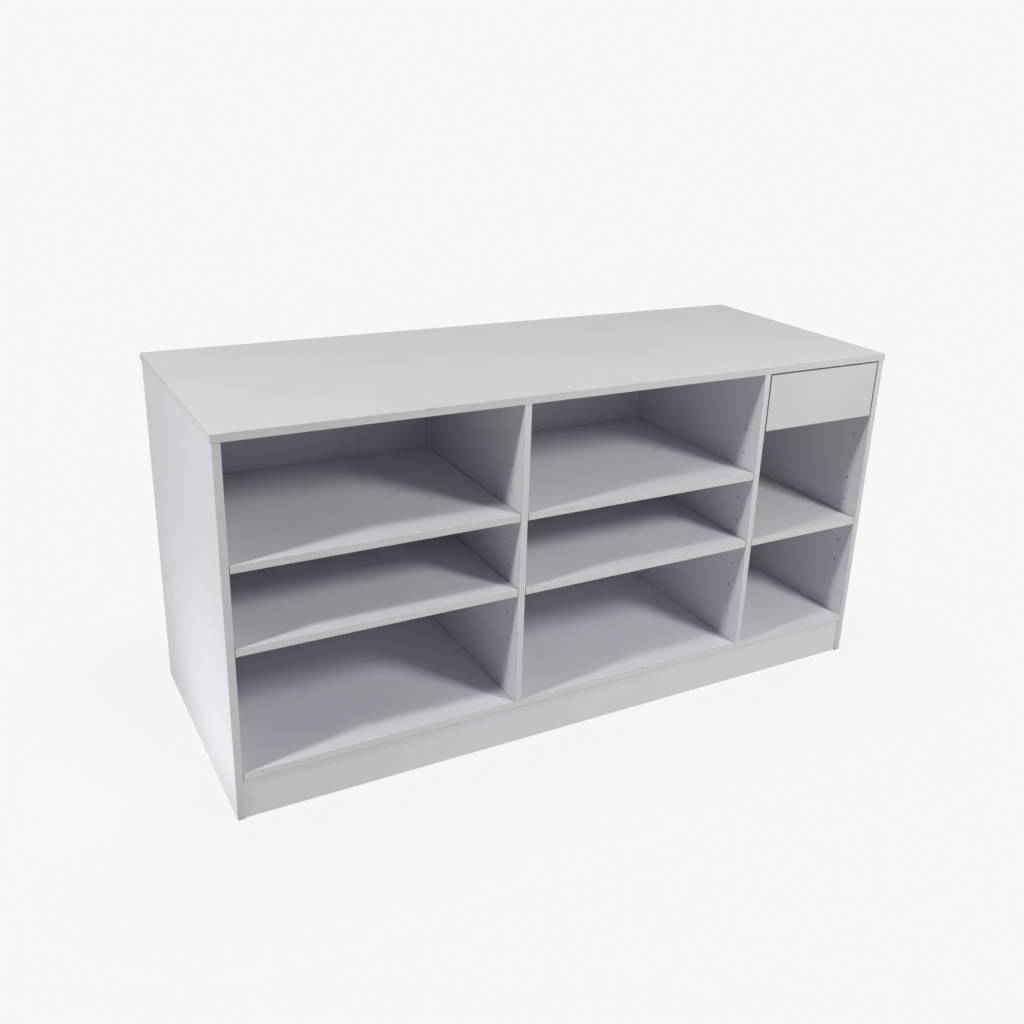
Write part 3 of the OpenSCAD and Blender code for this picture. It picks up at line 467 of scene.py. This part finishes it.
# The worktop strip's sides are the same edging painted lighter, as painted light.
WORKTOP_END_LIT_GREY = (0.65, 0.645, 0.67, 1)
SMEAR_GREY = (0.5, 0.475, 0.45, 1)
SPECK_GREY = (0.3, 0.29, 0.28, 1)
WORKTOP_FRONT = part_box("worktop_edging")[0][1]
WORKTOP_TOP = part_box("worktop_edging")[1][2]
SPECK = ((-0.801, 0.114, WORKTOP_TOP), 0.002, SPECK_GREY)
SMEARED_AT = (-0.443, -0.437, -0.431, -0.426)
FRONT_SMEAR = [((along, WORKTOP_FRONT, WORKTOP_TOP - 0.001), 0.006, SMEAR_GREY) for along in SMEARED_AT]
melamine("worktop", ACROSS_Z, tint=WORKTOP_GREY, roughness=0.3, gloss=0.5, wear=0.25, marks=[SPECK])
edging("worktop_edging", tint=WORKTOP_STRIP_GREY, lit_side_tint=WORKTOP_END_LIT_GREY, marks=FRONT_SMEAR)


# Shelves. Loose boards cut a little shorter than their bays, so that they lift out and move to
# other pin holes; only the front edge has a strip, the rest show their chips. These sawn ends are
# painted darker, as grime and as painted shade, with lines of painted shade and dirt along the gaps.
GAP_SHADE_AND_DIRT = 1.0
REAR_SHADE_AND_DIRT = 0.9
SHELF_END_SHADE_AND_DIRT = 0.6
for shelf in SHELVES:
    low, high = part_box(shelf)
    sawn_ends = [(ACROSS_X, low[0], GAP_SHADE_AND_DIRT), (ACROSS_X, high[0], GAP_SHADE_AND_DIRT), (ACROSS_Y, high[1], REAR_SHADE_AND_DIRT)]
    melamine(shelf, ACROSS_Z, shade_and_soil=SHELF_END_SHADE_AND_DIRT, joints=sawn_ends)


# Customer-side and hidden fittings: beech dowels, nickelled cams and pins, zinc-plated screws,
# angles and cam bolts, all bought in and pressed or driven into drilled holes.
NICKEL_GREY = (0.66, 0.65, 0.62, 1)
ZINC_GREY = (0.62, 0.64, 0.67, 1)
BEECH_DARK = (0.62, 0.42, 0.24, 1)
BEECH_PALE = (0.78, 0.60, 0.40, 1)
BEECH_ROUGHNESS = 0.7
BEECH_GRAIN = 0.0001
DOWEL_GRAIN_RUNS = (1.0, 1.0, 0.1)
SCRATCHES_RUN = (1.0, 0.06, 1.0)
DULL_SHARE = 0.9
DULL_ROUGHNESS = 0.08


def drawn_out(tree, place, scale):
    """The place to read a pattern from so that it comes out long where its scale is small."""
    return wire(tree, "ShaderNodeMapping", {"Vector": place, "Scale": scale}).outputs["Vector"]


def metal(name, tint, roughness, scratch=0.00001):
    """Plated steel with fine scratches and slight clouding of the plating."""
    material, tree, shader, place = new_material(name)
    clouds = noise(tree, place, scale=30.0, detail=3.0)
    dull_tint = tuple(DULL_SHARE * part for part in tint[:3]) + (1,)
    color = blend_colors(tree, between(tree, clouds, start=0.35, end=0.65), tint, dull_tint)
    tree.links.new(color, shader.inputs["Base Color"])
    shader.inputs["Metallic"].default_value = 1.0
    rough = between(tree, clouds, start=0.3, end=0.7, low=roughness, high=roughness + DULL_ROUGHNESS)
    tree.links.new(rough, shader.inputs["Roughness"])
    scratches = noise(tree, drawn_out(tree, place, SCRATCHES_RUN), scale=2500.0, detail=3.0)
    bump(tree, shader, scratches, scratch)
    return material


NICKEL = metal("nickelled steel", NICKEL_GREY, roughness=0.25)
ZINC = metal("zinc plated steel", ZINC_GREY, roughness=0.3)
for node in ("cam_discs", "shelf_pins"):
    dress(node, NICKEL)
for node in ("cam_bolts", "fixing_angles"):
    dress(node, ZINC)
beech, tree, shader, place = new_material("beech dowel")
grain = noise(tree, drawn_out(tree, place, DOWEL_GRAIN_RUNS), scale=900.0, detail=4.0)
tree.links.new(blend_colors(tree, grain, BEECH_DARK, BEECH_PALE), shader.inputs["Base Color"])
shader.inputs["Roughness"].default_value = BEECH_ROUGHNESS
bump(tree, shader, grain, BEECH_GRAIN)
dress("wooden_dowels", beech)


# Cam covers. Small white plastic caps, moulded with a finely pitted face and pressed over the four
# cams of the customer panel.
CAP_WHITE = (0.74, 0.74, 0.73, 1)


def moulded(name, tint, roughness, pits_per_metre, pit_depth):
    """Plastic or rubber with the fine pits of its mould."""
    material, tree, shader, place = new_material(name)
    shader.inputs["Base Color"].default_value = tint
    shader.inputs["Roughness"].default_value = roughness
    bump(tree, shader, noise(tree, place, scale=pits_per_metre, detail=2.0), pit_depth)
    return material


PLASTIC = moulded("white plastic cap", CAP_WHITE, roughness=0.45, pits_per_metre=2000, pit_depth=0.00001)
dress("cam_cover_caps", PLASTIC)


# Screws. Zinc-plated steel with a pressed cross recess and a rolled thread that runs out in a
# point; pan heads hold sheet steel and the drawer front, countersunk heads sit flush in board.
# A dome is a head's outline as shares of its radius and of its height.
PAN_HEAD = {"recess": 0.62, "dome": ((0.72, 1.0), (0.93, 0.72), (1.0, 0.0))}
COUNTERSUNK_HEAD = {"recess": 0.6, "dome": ((0.96, 1.0), (1.0, 0.88))}
PAN_HEIGHT = 0.0019
DECK_SCREW_HEAD = 0.0035
CORNER_SCREW_HEAD = 0.0024
END_ZONE = 0.003
PAN_UNDERSIDE = 0.98
HEAD_TO_SHANK = 1.001
RECESS_DEPTH = 0.8
RECESS_ARM = 0.24
RECESS_TAPER = 0.55
LOOKS_DOWN = -0.5
THREAD_PITCH = 0.0018
THREAD_DEPTH = 0.13
FIRST_TURN, CREST, TROUGH = 0.25, 0.3, 0.6
POINT_LENGTH = 0.004
POINT_WIDTH = 0.08
SCREW_SIDES = 16
ROUNDED_UNDER = math.radians(35)
TURNED_APART = 37
SAME_CORNER = 1e-6


def select_only(piece):
    """Makes one piece the only one that operators act on."""
    bpy.ops.object.select_all(action="DESELECT")
    piece.select_set(True)
    bpy.context.view_layer.objects.active = piece


def solids_of(node):
    """The corner points of each separate solid of a node."""
    mesh = bmesh.new()
    mesh.from_mesh(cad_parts[node].data)
    bmesh.ops.remove_doubles(mesh, verts=mesh.verts, dist=SAME_CORNER)
    mesh.verts.ensure_lookup_table()
    waiting = [True] * len(mesh.verts)
    solids = []
    for start in range(len(mesh.verts)):
        if not waiting[start]:
            continue
        waiting[start] = False
        group = [mesh.verts[start]]
        for corner in group:
            for edge in corner.link_edges:
                other = edge.other_vert(corner)
                if waiting[other.index]:
                    waiting[other.index] = False
                    group.append(other)
        solids.append([corner.co.copy() for corner in group])
    mesh.free()
    return solids


def screw_places(node):
    """For each screw of a node: the end of its head, its direction, its length and its radii."""
    places = []
    for points in solids_of(node):
        low = Vector([min(point[i] for point in points) for i in range(3)])
        high = Vector([max(point[i] for point in points) for i in range(3)])
        long_way = max(range(3), key=lambda i: (high - low)[i])
        middle = (low + high) / 2
        along = Vector([float(i == long_way) for i in range(3)])

        def radius_at(end):
            near = [p for p in points if abs(p[long_way] - end[long_way]) < END_ZONE]
            return max(((p - middle) - along * (p - middle).dot(along)).length for p in near)

        if radius_at(low) < radius_at(high):
            low, high = high, low
            along = -along
        length = abs(high[long_way] - low[long_way])
        places.append((middle - along * length / 2, along, length, radius_at(low), radius_at(high)))
    return places


def turned_piece(name, rings):
    """A closed turned shape along -Z, extruded ring by ring from its first one: (height, radius)."""
    bpy.ops.object.select_all(action="DESELECT")
    height, radius = rings[0]
    bpy.ops.mesh.primitive_circle_add(
        vertices=SCREW_SIDES, radius=radius, fill_type="NGON", location=(0, 0, height),
    )
    piece = bpy.context.object
    piece.name = name
    bpy.ops.object.transform_apply()
    bpy.ops.object.mode_set(mode="EDIT")
    for next_height, next_radius in rings[1:]:
        bpy.ops.mesh.extrude_region_move(TRANSFORM_OT_translate={"value": (0, 0, next_height - height)})
        scale = next_radius / radius
        bpy.ops.transform.resize(value=(scale, scale, 1), center_override=(0, 0, 0))
        height, radius = next_height, next_radius
    bpy.ops.mesh.select_all(action="SELECT")
    bpy.ops.mesh.normals_make_consistent(inside=False)
    bpy.ops.object.mode_set(mode="OBJECT")
    return piece


def cut_cross(piece, width, depth):
    """Presses a tapered cross recess into a head whose crown is at z = 0."""
    for turn in (0, math.pi / 2):
        bpy.ops.object.select_all(action="DESELECT")
        bpy.ops.mesh.primitive_cube_add(size=1, location=(0, 0, 0))
        cutter = bpy.context.object
        cutter.scale = (width, width * RECESS_ARM, depth * 2)
        cutter.rotation_euler.z = turn
        bpy.ops.object.transform_apply()
        bpy.ops.object.mode_set(mode="EDIT")
        bpy.ops.mesh.select_all(action="DESELECT")
        bpy.ops.object.mode_set(mode="OBJECT")
        for face in cutter.data.polygons:
            face.select = face.normal.z < LOOKS_DOWN
        bpy.ops.object.mode_set(mode="EDIT")
        bpy.ops.transform.resize(value=(RECESS_TAPER, RECESS_TAPER, 1), center_override=(0, 0, 0))
        bpy.ops.object.mode_set(mode="OBJECT")
        select_only(piece)
        recess = piece.modifiers.new("recess", "BOOLEAN")
        recess.operation = "DIFFERENCE"
        recess.object = cutter
        bpy.ops.object.modifier_apply(modifier=recess.name)
        bpy.data.objects.remove(cutter)


def model_screw(name, length, head_r, head_h, shank_r, head):
    """One screw along -Z, its head's crown at z = 0 and its point at z = -length."""
    root_r = shank_r * (1 - THREAD_DEPTH)
    rings = [(-head_h * (1 - lift), head_r * share) for share, lift in head["dome"]]
    rings.append((-head_h, root_r if head is COUNTERSUNK_HEAD else head_r * PAN_UNDERSIDE))
    rings.append((-head_h * HEAD_TO_SHANK, root_r))
    turns = int((length - head_h - POINT_LENGTH) / THREAD_PITCH)
    for turn in range(turns):
        start = -head_h - (turn + FIRST_TURN) * THREAD_PITCH
        rings.append((start, root_r))
        rings.append((start - CREST * THREAD_PITCH, shank_r))
        rings.append((start - TROUGH * THREAD_PITCH, root_r))
    rings += [(POINT_LENGTH - length, root_r), (-length, root_r * POINT_WIDTH)]
    screw = turned_piece(name, rings)
    cut_cross(screw, head_r * 2 * head["recess"], head_h * RECESS_DEPTH)
    select_only(screw)
    bpy.ops.object.shade_smooth_by_angle(angle=ROUNDED_UNDER)
    return screw


def screws(node, body, head, head_h):
    """Detailed screws in the places of a node's plain ones, as one piece."""
    places = screw_places(node)
    _, _, length, head_r, shank_r = places[0]
    first = model_screw(node.replace("_", " "), length, head_r, head_h, shank_r, head)
    copies = []
    for number, (end, along, *_) in enumerate(places):
        copy = first.copy()
        copy.data = first.data.copy()
        bpy.context.scene.collection.objects.link(copy)
        lay_along = (-along).to_track_quat("Z", "Y").to_matrix().to_4x4()
        turn = Matrix.Rotation(math.radians(TURNED_APART * number), 4, "Z")
        copy.data.transform(Matrix.Translation(end) @ lay_along @ turn)
        copies.append(copy)
    bpy.data.objects.remove(first)
    select_only(copies[0])
    for copy in copies:
        copy.select_set(True)
    bpy.ops.object.join()
    piece = bpy.context.object
    piece.name = f"{node}_detailed"
    piece.data.materials.clear()
    piece.data.materials.append(ZINC)
    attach(piece, body)
    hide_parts(node)


screws("angle_screws", "carcass", PAN_HEAD, PAN_HEIGHT)
screws("cabinet_member_screws", "carcass", PAN_HEAD, PAN_HEIGHT)
screws("drawer_member_screws", "drawer", PAN_HEAD, PAN_HEIGHT)
screws("drawer_front_screws", "drawer", PAN_HEAD, PAN_HEIGHT)
screws("deck_screws", "carcass", COUNTERSUNK_HEAD, DECK_SCREW_HEAD)
screws("drawer_corner_screws", "drawer", COUNTERSUNK_HEAD, CORNER_SCREW_HEAD)


# Drawer runners. Three rolled profiles of zinc-plated sheet, one in another, with bright balls
# between them in pressed retainer strips; drawing through the rolls leaves fine lines along the
# length. A black rubber bumper in each cabinet member stops the shut drawer.
BRIGHT_GREY = (0.7, 0.7, 0.71, 1)
RUBBER_BLACK = (0.025, 0.025, 0.027, 1)
BALL_STEEL = metal("bright steel", BRIGHT_GREY, roughness=0.12, scratch=0.000003)
RUBBER = moulded("black rubber", RUBBER_BLACK, roughness=0.8, pits_per_metre=3000, pit_depth=0.00004)
for side in ("left", "right"):
    for member in ("cabinet", "middle", "drawer"):
        dress(f"{side}_runner_{member}_member", ZINC)
    for row in ("outer", "inner"):
        dress(f"{side}_runner_{row}_balls", BALL_STEEL)
dress("runner_bumpers", RUBBER)


# Drawer. An inset front of the same board with strips on all four edges and no handle, screwed
# from inside to a box of thinner boards whose hardboard bottom slides in a groove.
DRAWER_FRONT_GREY = (0.593, 0.582, 0.60, 1)
BOTTOM_WHITE = (0.78, 0.78, 0.76, 1)
GAP_SHADE_AND_HAND_REACH = 0.012
melamine("drawer_front", ACROSS_Y, tint=DRAWER_FRONT_GREY)
edging("drawer_front_edging", gap_shade_and_grip=(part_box("drawer_front")[0][1], GAP_SHADE_AND_HAND_REACH))
melamine("drawer_box_front", ACROSS_Y, wrapped=True)
melamine("drawer_box_back", ACROSS_Y, wrapped=True)
melamine("drawer_left_side", ACROSS_X, wrapped=True)
melamine("drawer_right_side", ACROSS_X, wrapped=True)
melamine("drawer_bottom", ACROSS_Z, tint=BOTTOM_WHITE, roughness=0.55)


# Studio. A plain pale floor and backdrop, and a floor shadow that fades away round the counter. A
# small high lamp from the left throws the clear shadow edges, a larger one from the front right the
# softer ones. A wide lamp overhead, low ones on all sides and a faint bluish room light fill in.
BACKGROUND = (0.921, 0.921, 0.921, 1)
FLOOR_SIZE = 60
FLOOR_WHITE = (0.8, 0.8, 0.8, 1)
SHADOW_REACH = 0.45
PLAIN_NEAR_BY = 0.95
ROOM_BLUE = (0.35, 0.42, 1, 1)
ROOM_STRENGTH = 0.02
MIDDLE = (0, 0, 0.45)
LAMPS = {
    "key": {
        "place": (-3.0, -0.8, 2.55), "aim": MIDDLE, "size": 0.25, "power": 56.7, "tint": (1.01, 1, 0.99),
    },
    "front right": {
        "place": (1.3, -2.54, 2.35), "aim": MIDDLE, "size": 0.6, "power": 61.3, "tint": (0.98, 1, 0.98),
    },
    "ceiling": {
        "place": (0, 0, 4.5), "aim": MIDDLE, "size": 4.0, "power": 45, "tint": (1.02, 1, 0.92),
    },
    "floor": {
        "place": (-1.3, -0.5, 0.03), "aim": (-1.3, -0.5, 5), "size": 0.6, "power": 0.8, "tint": (1, 1, 1.1),
    },
    "low left": {
        "place": (-1.4, -0.1, 0.12), "aim": (-0.9, -0.1, 0.05), "size": 0.3, "power": 1.15,
        "tint": (1, 1, 1),
    },
    "low front": {
        "place": (-0.2, -1.6, 0.5), "aim": (0, 0, 0.1), "size": 0.8, "power": 1, "tint": (1, 1, 1.4),
    },
    "low back": {
        "place": (1.1, 3.1, 0.6), "aim": MIDDLE, "size": 1.8, "height": 0.5, "power": 45,
        "tint": (1, 1, 1),
    },
    "low right": {
        "place": (3.4, 0.6, 0.6), "aim": MIDDLE, "size": 1.5, "height": 0.5, "power": 30,
        "tint": (1, 1, 1),
    },
}
UNSEEN_IN_GLOSS = ("key", "front right", "low back", "low right")
LENS, SENSOR = 37.81, 36
LENS_SHIFT = (-0.0092, -0.0289)
VIEW_DISTANCE = 100
CAMERA_PLACE = (-1.33466, -2.34953, 1.56222)
CAMERA_TURN = (69.3562, -1.9271, -28.6647)


def seen_directly(tree):
    """1 for what the camera sees itself or in gloss or glass, 0 for light that falls on the object."""
    rays = tree.nodes.new("ShaderNodeLightPath").outputs
    seen = math_node(tree, "MAXIMUM", rays["Is Camera Ray"], rays["Is Glossy Ray"])
    return math_node(tree, "MAXIMUM", seen, rays["Is Transmission Ray"])


def blend_shaders(tree, amount, first, second, target):
    """Feeds target with shader first, with shader second laid over it by amount."""
    mixed = wire(tree, "ShaderNodeMixShader", {0: amount, 1: first.outputs[0], 2: second.outputs[0]})
    tree.links.new(mixed.outputs[0], target.inputs["Surface"])


bpy.ops.mesh.primitive_plane_add(size=FLOOR_SIZE)
floor = bpy.context.object
floor.name = "studio_floor"
floor_material, tree, shader, place = new_material("studio floor")
diffuse = wire(tree, "ShaderNodeBsdfDiffuse", {"Color": FLOOR_WHITE})
plain = wire(tree, "ShaderNodeEmission", {"Color": BACKGROUND, "Strength": 1.0})
outside = vector_node(tree, "SUBTRACT", vector_node(tree, "ABSOLUTE", place), model_high)
distance = vector_node(tree, "LENGTH", vector_node(tree, "MAXIMUM", outside, ORIGIN))
plain_share = between(tree, distance, start=0.0, end=SHADOW_REACH, low=PLAIN_NEAR_BY, high=1.0)
plain_share = math_node(tree, "MULTIPLY", seen_directly(tree), plain_share)
blend_shaders(tree, plain_share, diffuse, plain, tree.nodes["Material Output"])
floor.data.materials.append(floor_material)

world = bpy.data.worlds.new("studio")
world.use_nodes = True
bpy.context.scene.world = world
tree = world.node_tree
room = tree.nodes["Background"]
room.inputs["Color"].default_value = ROOM_BLUE
room.inputs["Strength"].default_value = ROOM_STRENGTH
backdrop = wire(tree, "ShaderNodeBackground", {"Color": BACKGROUND, "Strength": 1.0})
blend_shaders(tree, seen_directly(tree), room, backdrop, tree.nodes["World Output"])

for name, given in LAMPS.items():
    lamp = bpy.data.lights.new(name, "AREA")
    lamp.shape = "RECTANGLE"
    lamp.size = given["size"]
    lamp.size_y = given.get("height", given["size"])
    lamp.energy = given["power"]
    lamp.color = given["tint"]
    holder = bpy.data.objects.new(f"{name} lamp", lamp)
    bpy.context.scene.collection.objects.link(holder)
    holder.location = given["place"]
    holder.rotation_euler = (Vector(given["aim"]) - holder.location).to_track_quat("-Z", "Y").to_euler()
    holder.visible_camera = False
    holder.visible_glossy = name not in UNSEEN_IN_GLOSS

camera = bpy.data.cameras.new("camera")
camera.lens = LENS
camera.sensor_width = SENSOR
camera.shift_x, camera.shift_y = LENS_SHIFT
camera.clip_end = VIEW_DISTANCE
viewer = bpy.data.objects.new("camera", camera)
bpy.context.scene.collection.objects.link(viewer)
viewer.location = CAMERA_PLACE
viewer.rotation_euler = [math.radians(turn) for turn in CAMERA_TURN]
bpy.context.scene.camera = viewer
bpy.context.scene.view_settings.view_transform = "Standard"
